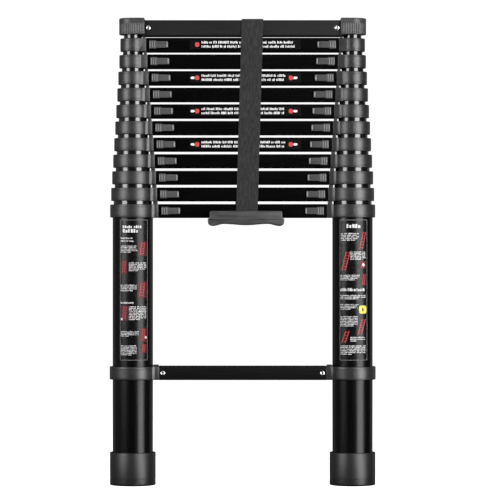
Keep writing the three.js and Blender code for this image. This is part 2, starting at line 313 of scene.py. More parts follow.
def anodised(name, level, roughness, streaks, sheen, spread=0.06):
    """Dyed aluminium: fine drawing lines one way, faint clouding and a few dull scuffs."""
    m = Nodes(name, IOR=1.5, Specular_IOR_Level=sheen)
    lines = m.noise(m.coordinates(scale=streaks), 1.0, detail=4, roughness=0.6)
    cloud = m.noise(m.coordinates(), 14.0, detail=3)
    scuffs = m.ramp(m.noise(m.coordinates(), 60.0, detail=6, roughness=0.7), 0.62, 0.75, 0.0, 1.0)
    shade = m.math("ADD", m.ramp(cloud, 0.3, 0.7, 0.0, 0.6), m.ramp(lines, 0.35, 0.65, 0.0, 0.4))
    m.drive("Base Color", m.mix(shade, grey(level * 0.75), grey(level * 1.3)))
    rough = m.ramp(lines, 0.3, 0.7, roughness - spread, roughness + spread)
    m.drive("Roughness", m.math("ADD", rough, m.math("MULTIPLY", scuffs, 0.1)))
    m.drive("Normal", m.bump(lines, 0.02 * MM, 0.35))
    return m.material


def moulded(name, level, roughness, grain=0.5 * MM, relief=0.03 * MM, sheen=0.5, contrast=0.2):
    """Nylon or rubber: spark-eroded grain, faint flow clouding and lighter rubbed spots."""
    warmth = 0.01
    m = Nodes(name, IOR=1.48, Specular_IOR_Level=sheen)
    skin = m.noise(m.coordinates(), 1 / grain, detail=2)
    flow = m.noise(m.coordinates(scale=(1, 1, 6)), 30.0, detail=3)
    rubs = m.ramp(m.noise(m.coordinates(), 45.0, detail=6, roughness=0.75), 0.58, 0.78, 0.0, 1.0)
    shade = m.math("ADD", m.ramp(flow, 0.3, 0.7, 0.0, 0.7), m.math("MULTIPLY", rubs, 0.5))
    dark, light = grey(level * (1 - contrast), warmth), grey(level * (1 + contrast), warmth)
    m.drive("Base Color", m.mix(shade, dark, light))
    m.drive("Roughness", m.ramp(skin, 0.3, 0.7, roughness - 0.06, roughness + 0.06))
    m.drive("Normal", m.bump(skin, relief, 0.6))
    return m.material


def woven():
    """Polypropylene webbing: ribs crossed by the weft, fuzzed and slightly uneven."""
    m = Nodes("strap_webbing", IOR=1.45)
    uv = m.node("ShaderNodeUVMap", uv_map="cloth").outputs[0]
    across = m.node("ShaderNodeSeparateXYZ", {0: uv})
    rib_turn = m.math("MULTIPLY", across.outputs[0], 2 * math.pi / (1.6 * MM))
    weft_turn = m.math("MULTIPLY", across.outputs[1], 2 * math.pi / (1.9 * MM))
    rib = m.math("SINE", rib_turn)
    offset = m.math("MULTIPLY", m.math("SIGN", rib), math.pi / 2)
    weft = m.math("SINE", m.math("ADD", weft_turn, offset))
    ribs = m.math("MULTIPLY", m.math("ABSOLUTE", rib), 0.5)
    weave = m.math("ADD", ribs, m.math("MULTIPLY", weft, 0.5))
    stretched = m.node("ShaderNodeMapping", {"Vector": uv, "Scale": (900, 130, 1)}).outputs[0]
    yarn = m.noise(stretched, 1.0, detail=4, roughness=0.7)
    bands = m.node("ShaderNodeMapping", {"Vector": uv, "Scale": (330, 60, 1)}).outputs[0]
    worn = m.noise(bands, 1.0, detail=5, roughness=0.75)
    shade = m.math("ADD", m.ramp(weave, -0.5, 1.0, 0.0, 0.3), m.ramp(yarn, 0.3, 0.7, 0.0, 0.3))
    shade = m.math("ADD", shade, m.ramp(worn, 0.38, 0.62, -0.4, 0.7))
    m.drive("Base Color", m.mix(shade, grey(0.0015), grey(0.022)))
    m.shader.inputs["Roughness"].default_value = 0.85
    m.shader.inputs["Sheen Weight"].default_value = 0.15
    coarse = m.bump(weave, 0.25 * MM, 0.8)
    m.drive("Normal", m.bump(yarn, 0.12 * MM, 0.7, coarse))
    return m.material


def bright(name, level, roughness):
    """Plated steel with fine turning marks."""
    m = Nodes(name, Metallic=1.0)
    marks = m.noise(m.coordinates(), 900.0, detail=3)
    m.drive("Base Color", m.mix(marks, grey(level * 0.85), grey(level)))
    m.drive("Roughness", m.ramp(marks, 0.3, 0.7, roughness - 0.08, roughness + 0.08))
    m.drive("Normal", m.bump(marks, 0.02 * MM, 0.3))
    return m.material


def printed(name, color, roughness=0.4):
    """Ink on the labels, a little thin in places."""
    m = Nodes(name, Specular_IOR_Level=0.25)
    thin = m.ramp(m.noise(m.coordinates(), 1500.0, detail=3), 0.35, 0.6, 0.0, 1.0)
    faded = tuple(0.45 * c for c in color) + (1,)
    m.drive("Base Color", m.mix(thin, faded, tuple(color) + (1,)))
    m.drive("Roughness", m.ramp(thin, 0.0, 1.0, roughness + 0.1, roughness))
    return m.material


def label_film():
    """Clear-coated black film with a slight orange-peel."""
    m = Nodes("label_film", IOR=1.5, Specular_IOR_Level=0.17)
    peel = m.noise(m.coordinates(), 260.0, detail=2)
    m.drive("Base Color", m.mix(peel, grey(0.002), grey(0.005)))
    m.drive("Roughness", m.ramp(peel, 0.3, 0.7, 0.22, 0.34))
    m.drive("Normal", m.bump(peel, 0.02 * MM, 0.4))
    return m.material


UPRIGHT = (900, 900, 12)  # drawing lines that run up a tube
LENGTHWAYS = (12, 900, 900)  # drawing lines that run along a rung
BASE_TUBE = anodised("base_tube_black", 0.001, 0.28, UPRIGHT, sheen=0.2)
INNER_TUBE = anodised("inner_tube_black", 0.004, 0.16, UPRIGHT, spread=0.04, sheen=0.7)
RUNG_BLACK = anodised("rung_black", 0.001, 0.22, LENGTHWAYS, sheen=0.2)
BOTTOM_RUNG_BLACK = anodised("bottom_rung_black", 0.002, 0.36, LENGTHWAYS, sheen=0.24)
TOP_RUNG_BLACK = anodised("top_rung_charcoal", 0.0045, 0.4, LENGTHWAYS, sheen=0.35)
COLLAR_NYLON = moulded("collar_nylon", 0.014, 0.41, sheen=0.64, contrast=0.35)
CAP_NYLON = moulded("cap_nylon", 0.035, 0.42)
BUTTON_NYLON = moulded("button_nylon", 0.05, 0.45)
# painted highlight: this lighter nylon on the buttons' ridges and end lip stands in for the light
# that catches them
PAINTED_HIGHLIGHT_NYLON = moulded("painted_highlight_button_nylon", 0.2, 0.4)
PLUG_NYLON = moulded("plug_nylon", 0.02, 0.5)
FOOT_RUBBER = moulded("foot_rubber", 0.006, 0.44, grain=0.8 * MM, relief=0.05 * MM)
GRIP_RUBBER = moulded("grip_rubber", 0.045, 0.4, grain=0.6 * MM, relief=0.05 * MM, contrast=0.5)
WEBBING = woven()
RIVET_STEEL = bright("rivet_steel", 0.8, 0.25)
PIN_STEEL = bright("pin_steel", 0.55, 0.3)
FILM = label_film()
WHITE_INK = printed("white_ink", (0.8, 0.8, 0.8))
GREY_INK = printed("grey_ink", (0.24, 0.24, 0.24))
RED_INK = printed("red_ink", (0.085, 0.004, 0.009))
BRIGHT_RED_INK = printed("bright_red_ink", (0.6, 0.06, 0.06))
YELLOW_INK = printed("yellow_ink", (0.85, 0.75, 0.12))


# ---- outlines and placings ----
def inset(outline, distance):
    """An anticlockwise outline drawn in by a distance."""
    drawn = []
    ahead, behind = outline[1:] + outline[:1], outline[-1:] + outline[:-1]
    for before, here, after in zip(behind, outline, ahead):
        first = (Vector(here) - Vector(before)).normalized()
        second = (Vector(after) - Vector(here)).normalized()
        share = distance / max(0.2, 1 + first.dot(second))
        across, up = first.y + second.y, first.x + second.x
        drawn.append((here[0] - across * share, here[1] + up * share))
    return drawn


def slab(outline, low, high, rounding, place, steps=3):
    """An outline drawn out from low to high, with rounded rims. place is as for a prism."""
    turns = [math.pi / 2 * i / steps for i in range(steps + 1)]
    levels = [(rounding * (1 - math.cos(t)), rounding * (1 - math.sin(t))) for t in turns]
    heights = [(low + up, within) for up, within in levels]
    heights += [(high - up, within) for up, within in reversed(levels)]
    return loft([[place(u, v, h) for u, v in inset(outline, within)] for h, within in heights])


def around(radius):
    """Places (u, v, height) on the front of an upright cylinder: u across, v up, height off it."""

    def place(u, v, height):
        angle = math.asin(u / radius)
        return ((radius + height) * math.sin(angle), -(radius + height) * math.cos(angle), v)

    return place


def on_front(u, v, height):
    """Places (u, v, height) on the plane y = 0, facing the viewer."""
    return (u, -height, v)


def rectangle(left, right, low, high, radius):
    middle_u, middle_v = (left + right) / 2, (low + high) / 2
    shape = rounded_rectangle(right - left, high - low, radius)
    return [(u + middle_u, v + middle_v) for u, v in shape]


def mark(left, right, low, high, place, base, top, column=2 * MM):
    """A thin closed rectangle of film or ink, with enough columns to follow a curve."""
    count = max(1, math.ceil((right - left) / column))
    us = [left + (right - left) * i / count for i in range(count + 1)]
    corners = ((low, base), (high, base), (high, top), (low, top))
    return loft([[place(u, v, h) for v, h in corners] for u in us])


def turned_forward(made, x, y, z):
    """Turns a lathed shell so that its top faces the viewer, and moves it to a point."""
    vertices, faces = made
    return [(x + v[0], y - v[2], z + v[1]) for v in vertices], faces


def turned_sideways(made, x, y, z):
    """Turns a lathed shell so that its top faces +X, and moves it to a point."""
    vertices, faces = made
    return [(x + v[2], y + v[0], z + v[1]) for v in vertices], faces


def cut(made, shells, operation="DIFFERENCE"):
    """Takes the shells' solid out of a piece for good, or with UNION adds it."""
    mesh = bpy.data.meshes.new("cutter")
    mesh.from_pydata(shells.vertices, [], shells.faces)
    turned_outward(mesh)
    tool = in_scene("cutter", mesh)
    knife = made.modifiers.new("cut", "BOOLEAN")
    knife.object, knife.operation = tool, operation
    graph = bpy.context.evaluated_depsgraph_get()
    made.data = bpy.data.meshes.new_from_object(made.evaluated_get(graph))
    made.modifiers.clear()
    made.data.set_sharp_from_angle(angle=math.radians(CREASE))
    bpy.data.objects.remove(tool)


def turned_outward(mesh):
    """Makes every face look out of its shell, which a boolean needs."""
    faces = bmesh.new()
    faces.from_mesh(mesh)
    bmesh.ops.recalc_face_normals(faces, faces=faces.faces)
    faces.to_mesh(mesh)
    faces.free()


def rod(radius, low_x, high_x, y=0.0, z=0.0, rounding=0.5 * MM, sides=24):
    profile = [(0, 0), (radius - rounding, 0), (radius, rounding)]
    length = high_x - low_x
    profile += [(radius, length - rounding), (radius - rounding, length), (0, length)]
    return turned_sideways(lathe(profile, sides), low_x, y, z)


# ---- tubes ----
def tube(side_name, side, section):
    """A section's tube, holed for its own rung's pin and for the pin below once it is up."""
    radius, z = tube_radius(section), rung_z(section + 1)
    bottom = BASE_TUBE_BOTTOM if section == 1 else z - TUBE_BELOW_RUNG
    top = CAP_TOP - TUBE_BELOW_CAP_TOP if section == SECTIONS else z + COLLAR_HEIGHT / 2
    inner = radius - TUBE_WALL
    edge = 0.4 * MM
    profile = [(inner, bottom), (radius - edge, bottom), (radius, bottom + edge)]
    profile += [(radius, top - edge), (radius - edge, top), (inner, top)]
    shells = Shells(lathe(profile)).moved(x=side * STILE_X)
    name = f"tube_{side_name}_{section:02d}"
    material = BASE_TUBE if section == 1 else INNER_TUBE
    made = shells.piece(name, [material], section_body(section), "tube_aluminium")
    pin_holes = ([z] if section < SECTIONS else []) + ([z - OPEN_STEP] if section > 1 else [])
    for height in pin_holes:
        hole = Shells(rod(PIN_HOLE_RADIUS, inner / 2, radius + 2 * MM, HAIR, height))
        cut(made, hole.beside(side))
    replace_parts(made, stile_node(side_name, section))


def end_plug(side_name, side, section):
    """The plug in a tube's lower end, whose lips seal against the tube around it."""
    bottom = rung_z(section + 1) - TUBE_BELOW_RUNG
    bore = tube_radius(section) - TUBE_WALL - 0.1 * MM
    throat = bore - 4 * MM
    lip = tube_radius(section) + 0.35 * MM
    dent = lip - 0.6 * MM
    profile = [(throat, -4 * MM), (lip - 1 * MM, -4 * MM), (lip, -3 * MM), (dent, -2 * MM)]
    profile += [(lip, -1 * MM), (dent, 0), (bore, 0), (bore, 12 * MM), (throat, 12 * MM)]
    shells = Shells(lathe(profile)).moved(x=side * STILE_X, z=bottom - 0.1 * MM)
    name = f"end_plug_{side_name}_{section:02d}"
    shells.piece(name, [PLUG_NYLON], section_body(section), "latch_nylon")


# ---- collars and sockets ----
def collar_ring(inner, outer):
    """A moulded ring with rounded rims and a fine line near each."""
    half = COLLAR_HEIGHT / 2
    rim, line, depth = 1.1 * MM, 3.4 * MM, 0.3 * MM
    lower = [(outer - rim, -half), (outer - 0.3 * rim, 0.3 * rim - half), (outer, rim - half)]
    lower += [(outer, line - half), (outer - depth, line + 0.3 * MM - half)]
    lower += [(outer - depth, line + 0.7 * MM - half), (outer, line + 1.0 * MM - half)]
    upper = [(radius, -z) for radius, z in reversed(lower)]
    return lathe([(inner, -half)] + lower + upper + [(inner, half)])


DROP_WIDTH, DROP_HEIGHT = 6 * MM, 9 * MM


def drop_outline(points=20):
    """The drop-shaped mark on a collar's front, pointed at the top."""
    half, tall = DROP_WIDTH / 2, DROP_HEIGHT / 2
    turns = [2 * math.pi * i / points for i in range(points)]
    return [(-half * math.sin(t) * math.sin(t / 2) * 1.3, tall * math.cos(t)) for t in turns]


def socket_block(reach, bore_radius, collar_radius, pad_height):
    """The block that a rung's end fits over, flared to meet the collar, and the pad on its top.
    Its root follows the middle of the collar's wall, clear of the bore."""
    narrow = SOCKET_DEPTH / 2
    wide = narrow + FLARE_WIDTH
    flare_start = math.sqrt(collar_radius**2 - wide**2)
    shares = [i / 8 for i in range(9)]
    drop_off = [FLARE_WIDTH * (1 - u) ** 1.5 for u in shares]
    front = [(flare_start + FLARE_LENGTH * u, -narrow - d) for u, d in zip(shares, drop_off)]
    front += [(reach - 1 * MM, -narrow)]
    front += [(reach - 0.3 * MM, 0.3 * MM - narrow), (reach, 1 * MM - narrow)]
    back = [(x, -y) for x, y in reversed(front)]
    root_radius = (bore_radius + collar_radius) / 2
    spread = math.atan2(wide, flare_start)
    turns = [spread * (1 - i / 8) for i in range(17)]
    root = [(root_radius * math.cos(t), root_radius * math.sin(t)) for t in turns]
    half = SOCKET_HEIGHT / 2
    body = slab(front + back + root, -half, half, 0.7 * MM, along_z)
    depth = narrow - PAD_INSET
    plan = rectangle(bore_radius + 0.5 * MM, reach - PAD_INSET, -depth, depth, 1 * MM)
    pad = slab(plan, half - 1 * MM, half + pad_height, 0.8 * MM, along_z)
    return body, pad


def collar(name, rung, side, node, inner, outer, reach, pad_height):
    """A moulded collar and its socket, as one closed shell. Rung 1's has no latch."""
    body = section_body(max(1, rung - 1))
    additions = list(socket_block(reach, inner, outer, pad_height))
    additions.append(slab(drop_outline(), -0.5 * MM, 0.45 * MM, 0.12 * MM, around(outer)))
    if rung != 1:
        ledge = RUNG_DEPTH / 2 - RUNG_WALL - 0.5 * MM
        height = RUNG_HEIGHT / 2 - RUNG_WALL - 0.5 * MM
        spigot = rounded_rectangle(2 * ledge, 2 * height, 1.5 * MM)
        additions.append(slab(spigot, reach - 1 * MM, reach + SPIGOT_LENGTH, 0.5 * MM, along_x))
    z = rung_z(rung)
    ring = Shells(collar_ring(inner, outer)).beside(side, z)
    made = ring.piece(name, [COLLAR_NYLON], body, "latch_nylon")
    for addition in additions:
        cut(made, Shells(addition).beside(side, z), "UNION")
    if rung != 1:
        bore = rod(PIN_HOLE_RADIUS, inner - 3 * MM, reach + 2 * SPIGOT_LENGTH, y=HAIR)
        cut(made, Shells(bore).beside(side, z))
    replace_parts(made, node)


# ---- rungs ----
def rung_outline(rung_height):
    """A rounded box with a grooved tread, as (y, z), anticlockwise from the lower back corner."""
    plain = rounded_rectangle(RUNG_DEPTH, rung_height, 1.8 * MM)
    top = rung_height / 2
    grooves = []
    pitch, depth = 3.4 * MM, 0.5 * MM
    for i in range(4, -5, -1):
        middle = i * pitch
        grooves += [(middle + 0.9 * MM, top), (middle + 0.5 * MM, top - depth)]
        grooves += [(middle - 0.5 * MM, top - depth), (middle - 0.9 * MM, top)]
    first_corner = len(plain) // 4
    return plain[:first_corner] + grooves + plain[first_corner:]


def rung(name, half_length, number, body, material, node, slot_ends=None):
    """A hollow rung. slot_ends are how far from the middle its two latch slots start and end."""
    height = TOP_RUNG_HEIGHT if number == TOP_RUNG else RUNG_HEIGHT
    z = rung_z(number)
    made = Shells(prism(rung_outline(height), -half_length, half_length, along_x))
    made = made.moved(z=z).piece(name, [material], body, "rung_aluminium")
    bore = rounded_rectangle(RUNG_DEPTH - 2 * RUNG_WALL, height - 2 * RUNG_WALL, 1.0 * MM)
    through = Shells(prism(bore, -half_length - 1 * MM, half_length + 1 * MM, along_x))
    cut(made, through.moved(z=z))
    if slot_ends:
        front, back = RUNG_FACE - 1 * MM, RUNG_FACE + RUNG_WALL + 0.5 * MM
        half = 5.5 * MM
        slots = Shells(block(*slot_ends, front, back, -half, half))
        slots.add(*block(-slot_ends[1], -slot_ends[0], front, back, -half, half))
        cut(made, slots.moved(z=z))
    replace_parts(made, node)


# ---- latches ----
BUTTON_START, BUTTON_WIDE, BUTTON_LENGTH = 5.9 * MM, 12 * MM, 34.7 * MM
BUTTON_WIDE_HEIGHT, BUTTON_NARROW_HEIGHT, BUTTON_THICKNESS = 15 * MM, 12 * MM, 3.2 * MM
STEM_START, STEM_LENGTH, STEM_HEIGHT = 8.5 * MM, 14 * MM, 9 * MM
SLIDER_START, SLIDER_LENGTH, SLIDER_HEIGHT = 7.5 * MM, 17 * MM, 14 * MM
SLIDER_FRONT, SLIDER_BACK = -13.5 * MM, 6 * MM
RIDGE_START, RIDGE_PITCH = 1.5 * MM, 4.2 * MM


def latch(side_name, side, number):
    """A thumb button in front of the rung, the slider that it moves inside, and the locking pin."""
    reach = socket_reach(number - 1)
    place = f"{side_name}_{number:02d}"
    body = f"latch_{place}"
    face = RUNG_FACE - GAP
    start = reach + BUTTON_START
    step, end = start + BUTTON_WIDE, start + BUTTON_LENGTH
    wide, narrow = BUTTON_WIDE_HEIGHT / 2, BUTTON_NARROW_HEIGHT / 2
    outline = [(start, -wide), (step, -wide), (step + 1.5 * MM, -narrow)]
    outline += [(end - 1 * MM, -narrow), (end, 1 * MM - narrow)]
    outline += [(x, -z) for x, z in reversed(outline)]
    shells = Shells(slab(outline, -face, -face + BUTTON_THICKNESS, 0.8 * MM, on_front))
    top = -face + BUTTON_THICKNESS - 0.6 * MM
    # the ridges and the end lip below take the second material, a lighter nylon that is painted
    # highlight
    for i in range(3):
        middle, tall = start + RIDGE_START + RIDGE_PITCH * i, wide - 1.6 * MM
        ridge = rectangle(middle - 0.7 * MM, middle + 0.7 * MM, -tall, tall, 0.6 * MM)
        shells.add(*slab(ridge, top, top + 1.2 * MM, 0.5 * MM, on_front), 1)
    for i in range(-1, 2):
        low, high = (3 * i - 0.6) * MM, (3 * i + 0.6) * MM
        line = rectangle(step + 2.5 * MM, end - 5 * MM, low, high, 0.5 * MM)
        shells.add(*slab(line, top, top + 1.0 * MM, 0.4 * MM, on_front))
    lip = rectangle(end - 3.4 * MM, end - 0.8 * MM, 1 * MM - narrow, narrow - 1 * MM, 1 * MM)
    shells.add(*slab(lip, top, top + 2.6 * MM, 0.9 * MM, on_front), 1)
    stem, half = reach + STEM_START, STEM_HEIGHT / 2
    front, back = face - 1 * MM, SLIDER_FRONT + 1 * MM
    shells.add(*block(stem, stem + STEM_LENGTH, front, back, -half, half))
    slider = reach + SLIDER_START
    plan = rectangle(slider, slider + SLIDER_LENGTH, SLIDER_FRONT, SLIDER_BACK, 1 * MM)
    shells.add(*slab(plan, -SLIDER_HEIGHT / 2, SLIDER_HEIGHT / 2, 0.8 * MM, along_z))
    pin = Shells(rod(PIN_RADIUS, tube_radius(number) + 0.4 * MM, slider + 1 * MM))
    for made, kind, materials in (
        (shells, "button", [BUTTON_NYLON, PAINTED_HIGHLIGHT_NYLON]),
        (pin, "pin", [PIN_STEEL]),
    ):
        made.beside(side, rung_z(number))
        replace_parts(made.piece(f"{kind}_{place}", materials, body, "latch_nylon"), body)


# ---- caps, feet and rivets ----
def cap_plan(radius, reach, corner, pitch):
    """Half a circle outside and a square end inside, from the lower inner corner round."""
    lower = []
    for t in (1.2, 0.6, 0):
        lower.append((reach - corner * (1 - math.sin(t)), corner * (1 - math.cos(t)) - radius))
    count = round(math.pi * radius / pitch)
    turns = [-math.pi / 2 - math.pi * i / count for i in range(count + 1)]
    round_side = [(radius * math.cos(t), radius * math.sin(t)) for t in turns]
    steps = round((reach - corner) / pitch)
    straight = [((reach - corner) * (1 - i / steps), -radius) for i in range(1, steps)]
    lower += straight
    upper = [(x, -y) for x, y in reversed(lower)]
    return list(reversed(lower + round_side + upper))


def end_cap(side_name, side):
    """A cap with shallow flutes below a smooth band that has two fine ridges."""
    corner, pitch, flute = 1.2 * MM, 0.65 * MM, 0.8 * MM
    plan = cap_plan(CAP_RADIUS, CAP_REACH, corner, pitch)
    along, travelled = [], 0.0
    for i, point in enumerate(plan):
        travelled += math.dist(point, plan[i - 1]) if i else 0
        along.append(travelled)
    waves = round(travelled / (4.5 * MM))
    turns = [2 * math.pi * waves * t / travelled for t in along]
    groove = [flute * (0.5 - 0.5 * math.cos(t)) ** 3 for t in turns]
    flat_side = [x > CAP_REACH - corner * 1.01 for x, y in plan]
    plain = [0.0] * len(plan)
    cut_in = [0.0 if flat else depth for flat, depth in zip(flat_side, groove)]
    bottom, top = CAP_BOTTOM, CAP_TOP
    band = top - 9.6 * MM
    ridge = 0.35 * MM
    levels = [(bottom, 1.0 * MM, plain), (bottom + 0.3 * MM, 0.3 * MM, plain)]
    levels += [(bottom + 1.0 * MM, 0, plain), (bottom + 1.8 * MM, 0, cut_in)]
    levels += [(band - 0.8 * MM, 0, cut_in), (band, 0, plain)]
    for z in (band + 2.0 * MM, band + 5.6 * MM):
        levels += [(z, 0, plain), (z + 0.3 * MM, -ridge, plain)]
        levels += [(z + 0.9 * MM, -ridge, plain), (z + 1.2 * MM, 0, plain)]
    levels += [(top - 1.4 * MM, 0, plain), (top - 0.4 * MM, 0.4 * MM, plain)]
    levels += [(top, 1.4 * MM, plain)]
    rings = []
    for z, within, depths in levels:
        drawn = inset(plan, within)
        pulled = []
        for (x, y), depth in zip(drawn, depths):
            away = Vector((min(x, 0), y)).normalized()
            pulled.append((x - away.x * depth, y - away.y * depth, z))
        rings.append(pulled)
    shells = Shells(loft(rings)).beside(side)
    made = shells.piece(f"end_cap_{side_name}", [CAP_NYLON], "section_12", "latch_nylon")
    radius, floor, roof = tube_radius(SECTIONS), bottom - 1 * MM, top - 4 * MM
    bore = Shells(lathe([(0, floor), (radius, floor), (radius, roof), (0, roof)]))
    cut(made, bore.moved(x=side * STILE_X))
    half_y, half_z = RUNG_DEPTH / 2 + 0.05 * MM, TOP_RUNG_HEIGHT / 2 + 0.05 * MM
    ends = CAP_REACH - CAP_POCKET, CAP_REACH + 1 * MM
    pocket = block(*ends, -half_y, half_y, TOP_RUNG_Z - half_z, TOP_RUNG_Z + half_z)
    cut(made, Shells(pocket).beside(side))
    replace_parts(made, "top_section")


def foot(side_name, side):
    bore, rim = BASE_TUBE_RADIUS + GAP, 1.5 * MM
    profile = [(0, 0.6 * MM), (FOOT_RADIUS - 7 * MM, 0.6 * MM), (FOOT_RADIUS - 8 * MM, 0)]
    profile += [(FOOT_RADIUS - rim, 0), (FOOT_RADIUS - 0.4 * rim, 0.4 * rim), (FOOT_RADIUS, rim)]
    ring = FOOT_RADIUS - 0.5 * MM
    for z in (5 * MM, 9 * MM, 13 * MM):
        profile += [(FOOT_RADIUS, z), (ring, z + 0.4 * MM), (ring, z + 0.9 * MM)]
        profile += [(FOOT_RADIUS, z + 1.3 * MM)]
    profile += [(FOOT_RADIUS, FOOT_HEIGHT - 1.2 * MM)]
    profile += [(FOOT_RADIUS - 0.4 * MM, FOOT_HEIGHT - 0.3 * MM)]
    profile += [(FOOT_RADIUS - 1.2 * MM, FOOT_HEIGHT), (bore, FOOT_HEIGHT)]
    profile += [(bore, BASE_TUBE_BOTTOM - GAP), (0, BASE_TUBE_BOTTOM - GAP)]
    shells = Shells(lathe(profile, 96)).moved(x=side * STILE_X)
    made = shells.piece(f"rubber_foot_{side_name}", [FOOT_RUBBER], "base", "foot_rubber")
    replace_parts(made, f"foot_{side_name}")


def rivet(name, x, y, z, body):
    """A domed tubular rivet head with a dark centre."""
    sizes = ((0, 0), (4.6, 0), (4.6, 0.5), (3.9, 1.3), (2.8, 1.6), (1.9, 1.1), (1.7, 0.3), (0, 0.3))
    profile = [(radius * MM, height * MM) for radius, height in sizes]
    shells = Shells(turned_forward(lathe(profile, 32), x, y, z))
    shells.piece(name, [RIVET_STEEL], body, None, crease=60)


# ---- carrying strap, keeper and handle ----
WEB_WIDTH, WEB_THICKNESS, WEB_GAP = 40 * MM, 2 * MM, 0.4 * MM
STRAP_TOP_X, STRAP_LEAN = 17.8 * MM, 0.0295
STRAP_FRONT_END, STRAP_BACK_END = 496 * MM, 500 * MM
KEEPER_BACK_TOP = 545 * MM
HANDLE_X = centre("carry_handle").x
ROD_Y, ROD_Z, ROD_RADIUS, ROD_HALF = -27.6 * MM, 502.3 * MM, 2.2 * MM, 23 * MM
RECESS_RADIUS, RECESS_HALF = 6.2 * MM, 21 * MM  # around the rod, for the keeper's loop


def arc(y, z, radius, first, last, steps=8):
    """Points on an arc in (Y, Z). Angles are in degrees, from +Y towards +Z."""
    turns = [math.radians(first + (last - first) * i / steps) for i in range(steps + 1)]
    return [(y + radius * math.cos(t), z + radius * math.sin(t)) for t in turns]


def spaced(points, pitch):
    """The same path with points no further apart than the pitch."""
    path = [points[0]]
    for a, b in zip(points, points[1:]):
        count = max(1, math.ceil(math.dist(a, b) / pitch))
        wide, tall = b[0] - a[0], b[1] - a[1]
        path += [(a[0] + wide * i / count, a[1] + tall * i / count) for i in range(1, count + 1)]
    return path


def webbing(name, path, middle_x, body):
    """A band of cloth along a path in (Y, Z), with soft edges. Its UVs are its width and length."""
    path = spaced(path, 4 * MM)
    columns = 10
    half = WEB_WIDTH / 2 - 1 * MM
    front = [(half - 2 * half * i / columns, WEB_THICKNESS / 2) for i in range(1, columns)]
    back = [(-x, -y) for x, y in front]
    rim = rounded_rectangle(WEB_WIDTH, WEB_THICKNESS, 0.9 * MM, steps=4)
    quarter = len(rim) // 4
    section = rim[:quarter] + front + rim[quarter : 3 * quarter] + back + rim[3 * quarter :]
    rings, along, length = [], [], 0.0
    for i, (y, z) in enumerate(path):
        before, after = path[max(0, i - 1)], path[min(len(path) - 1, i + 1)]
        step = (Vector(after) - Vector(before)).normalized()
        if i:
            length += math.dist(path[i - 1], path[i])
        along.append(length)
        x = middle_x(z)
        rings.append([(x + u, y - step.y * v, z + step.x * v) for u, v in section])
    made = Shells(loft(rings)).piece(name, [WEBBING], body, "strap_webbing", crease=50)
    cloth = made.data.uv_layers.new(name="cloth")
    width = len(section)
    for loop in made.data.loops:
        ring, point = divmod(loop.vertex_index, width)
        cloth.data[loop.index].uv = (section[point][0], along[ring])
    return made, length


def carrying_strap():
    gap = WEB_GAP + WEB_THICKNESS / 2
    y, bend = RUNG_DEPTH / 2 + gap, 4 * MM
    roof = TOP_RUNG_Z + TOP_RUNG_HEIGHT / 2 + gap
    path = [(-y, STRAP_FRONT_END), (-y, roof - bend)]
    path += arc(bend - y, roof - bend, bend, 180, 90)[1:]
    path += arc(y - bend, roof - bend, bend, 90, 0)
    path += [(y, STRAP_BACK_END)]

    def leaning(z):
        return STRAP_TOP_X + STRAP_LEAN * (z - TOP_RUNG_Z)

    made, length = webbing("carry_strap_cloth", path, leaning, "section_12")
    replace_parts(made, "carry_strap")


def keeper():
    gap = 2 * WEB_GAP + 1.5 * WEB_THICKNESS
    y, bend = RUNG_DEPTH / 2 + gap, 4 * MM
    floor = SECOND_RUNG_Z - RUNG_HEIGHT / 2 - WEB_GAP - WEB_THICKNESS / 2
    path = [(y, KEEPER_BACK_TOP), (y, floor + bend)]
    path += arc(y - bend, floor + bend, bend, 0, -90)[1:]
    path += arc(bend - y, floor + bend, bend, 270, 180)
    loop = 3.6 * MM
    path += [(-y, ROD_Z - 1 * MM)]
    path += arc(ROD_Y, ROD_Z, loop, 12, 330, 24)
    made, length = webbing("strap_keeper_cloth", path, lambda z: HANDLE_X, "base")
    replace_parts(made, "strap_keeper")


HANDLE_LOW, HANDLE_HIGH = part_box("carry_handle")
HANDLE_HALF_TOP, HANDLE_SHOULDER = 67 * MM, 493.6 * MM
LOBE_X, LOBE_Z = 61.7 * MM, 479.4 * MM  # the outer lobes of the waved underside
VALLEY_X, VALLEY_Z = 40.6 * MM, 483.2 * MM
MIDDLE_Z = 480.9 * MM


def grip_underside(x):
    """Height of the waved underside at a distance from the grip's middle."""
    if abs(x) < VALLEY_X:
        return MIDDLE_Z + (VALLEY_Z - MIDDLE_Z) * (1 - math.cos(math.pi * x / VALLEY_X)) / 2
    share = (abs(x) - VALLEY_X) / (LOBE_X - VALLEY_X)
    return VALLEY_Z - (VALLEY_Z - LOBE_Z) * (1 - math.cos(math.pi * share)) / 2


